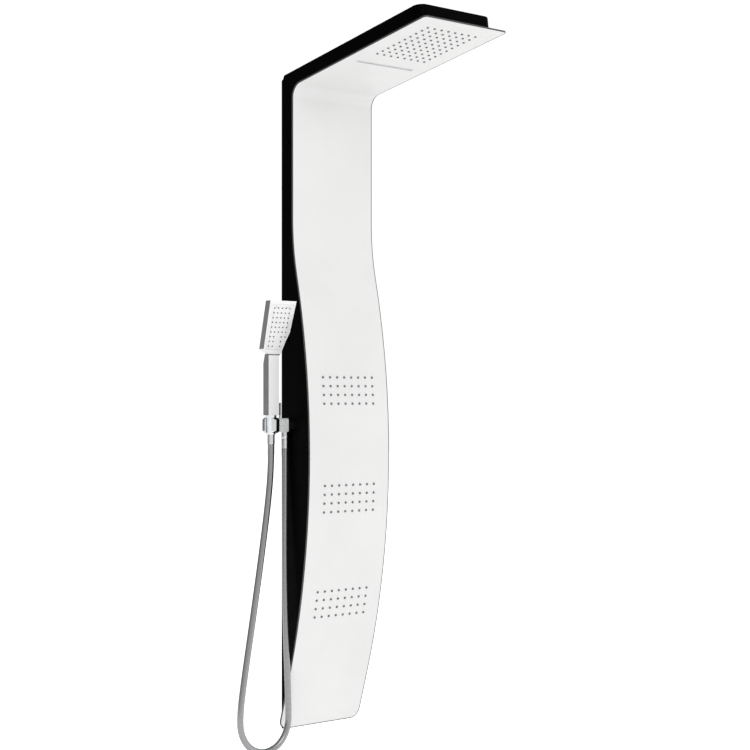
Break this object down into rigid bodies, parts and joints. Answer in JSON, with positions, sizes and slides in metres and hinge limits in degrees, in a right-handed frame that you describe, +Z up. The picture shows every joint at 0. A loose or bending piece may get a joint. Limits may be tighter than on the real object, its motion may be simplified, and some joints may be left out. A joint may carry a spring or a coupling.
{
  "type": "rainfall shower column",
  "caption": "Wall-mounted shower panel with a forward rain head, waterfall slot, body jets, thermostatic mixer, diverter and a hand shower on a hose.",
  "frame": {"origin": "centre of the upper wall bracket's back face, on the wall plane", "axes": "+Z up; the wall is Y = 0 and the column stands in front of it, towards -Y; +X to the right as seen from the front, so the hand shower hangs at -X"},
  "size_m": [0.3873, 0.5105, 1.5531],
  "materials": {
    "face_white": "smooth white coating on folded sheet",
    "casing_black": "black coating",
    "screw_black": "black zinc",
    "zinc_steel": "zinc plated sheet",
    "nozzle_silicone": "grey silicone",
    "chamber_plastic": "moulded",
    "spout_steel": "satin",
    "pipe_plastic": "cross-linked polyethylene",
    "brass": "cast and turned",
    "cartridge_plastic": "moulded",
    "button_red": "gloss",
    "hose_silver": "metallic silver under clear vinyl",
    "washer_rubber": "matte",
    "handset_white": "gloss",
    "handset_silicone": "grey silicone",
    "holder_satin": "satin chrome",
    "chrome": "polished"
  },
  "bodies": {
    "column": {"casing_screws": "screw_black", "casing_side_left": "casing_black", "casing_side_right": "casing_black", "cold_inlet_pipe": "brass", "cradle": "chrome", "cross_strap_lower": "zinc_steel", "cross_strap_middle": "zinc_steel", "cross_strap_upper": "zinc_steel", "diverter_body": "brass", "diverter_cartridge": "cartridge_plastic", "diverter_escutcheon": "chrome", "face_panel": "face_white", "handle_guide": "chrome", "handset_pipe": "pipe_plastic", "head_cover": "casing_black", "holder_block": "holder_satin", "hose_ferrule_fixed": "chrome", "hose_washer": "washer_rubber", "hot_inlet_pipe": "brass", "jet_manifold_lower": "chamber_plastic", "jet_manifold_middle": "chamber_plastic", "jet_manifold_upper": "chamber_plastic", "jet_nozzles_lower": "nozzle_silicone", "jet_nozzles_middle": "nozzle_silicone", "jet_nozzles_upper": "nozzle_silicone", "jet_riser": "pipe_plastic", "mixed_water_pipe": "brass", "mixer_body": "brass", "mixer_cartridge": "cartridge_plastic", "mixer_escutcheon": "chrome", "outlet_elbow": "chrome", "outlet_locknut": "brass", "rain_chamber": "chamber_plastic", "rain_nozzles": "nozzle_silicone", "rain_pipe": "pipe_plastic", "wall_bracket_lower": "zinc_steel", "wall_bracket_upper": "zinc_steel", "waterfall_pipe": "pipe_plastic", "waterfall_spout": "spout_steel"},
    "temperature_control": {"temperature_knob": "chrome", "temperature_stem": "cartridge_plastic"},
    "stop_button": {"stop_button": "button_red"},
    "diverter_control": {"diverter_knob": "chrome", "diverter_stem": "cartridge_plastic"},
    "hose_end": {"hose": "hose_silver", "hose_ferrule_free": "chrome"},
    "handset": {"handset_body": "chrome", "handset_face": "handset_white", "handset_nozzles": "handset_silicone", "handset_inlet": "chrome", "hose_cone": "chrome"},
    "hose_nut": {"hose_nut": "chrome"},
    "hot_inlet_nut": {"hot_inlet_nut": "brass"},
    "cold_inlet_nut": {"cold_inlet_nut": "brass"}
  },
  "joints": [
    {"name": "temperature_turn", "type": "hinge", "parent": "column", "child": "temperature_control", "pos_m": [0.115, -0.052, -0.735], "axis": [1, 0, 0], "range_deg": [-200, 60]},
    {"name": "stop_button_press", "type": "slide", "parent": "temperature_control", "child": "stop_button", "axis": [-1, 0, 0], "range_m": [0, 0.002], "stiffness_N_per_m": 900, "springref_m": -0.002},
    {"name": "diverter_turn", "type": "hinge", "parent": "column", "child": "diverter_control", "pos_m": [0.115, -0.052, -0.6], "axis": [1, 0, 0], "range_deg": [0, 270]},
    {"name": "handset_lift", "type": "slide", "parent": "column", "child": "hose_end", "axis": [0, 0, 1], "range_m": [0, 0.06], "deforming": ["hose"]},
    {"name": "handset_turn", "type": "hinge", "parent": "hose_end", "child": "handset", "pos_m": [-0.154, -0.042, -0.625], "axis": [0, 0, 1], "range_deg": [-90, 30]},
    {"name": "hose_nut_turn", "type": "hinge", "parent": "column", "child": "hose_nut", "pos_m": [-0.1065, -0.028, -0.645], "axis": [0, 0, 1], "continuous": true},
    {"name": "hot_nut_turn", "type": "hinge", "parent": "column", "child": "hot_inlet_nut", "pos_m": [-0.075, -0.01, -0.86], "axis": [0, 1, 0], "continuous": true},
    {"name": "cold_nut_turn", "type": "hinge", "parent": "column", "child": "cold_inlet_nut", "pos_m": [0.075, -0.01, -0.86], "axis": [0, 1, 0], "continuous": true}
  ]
}
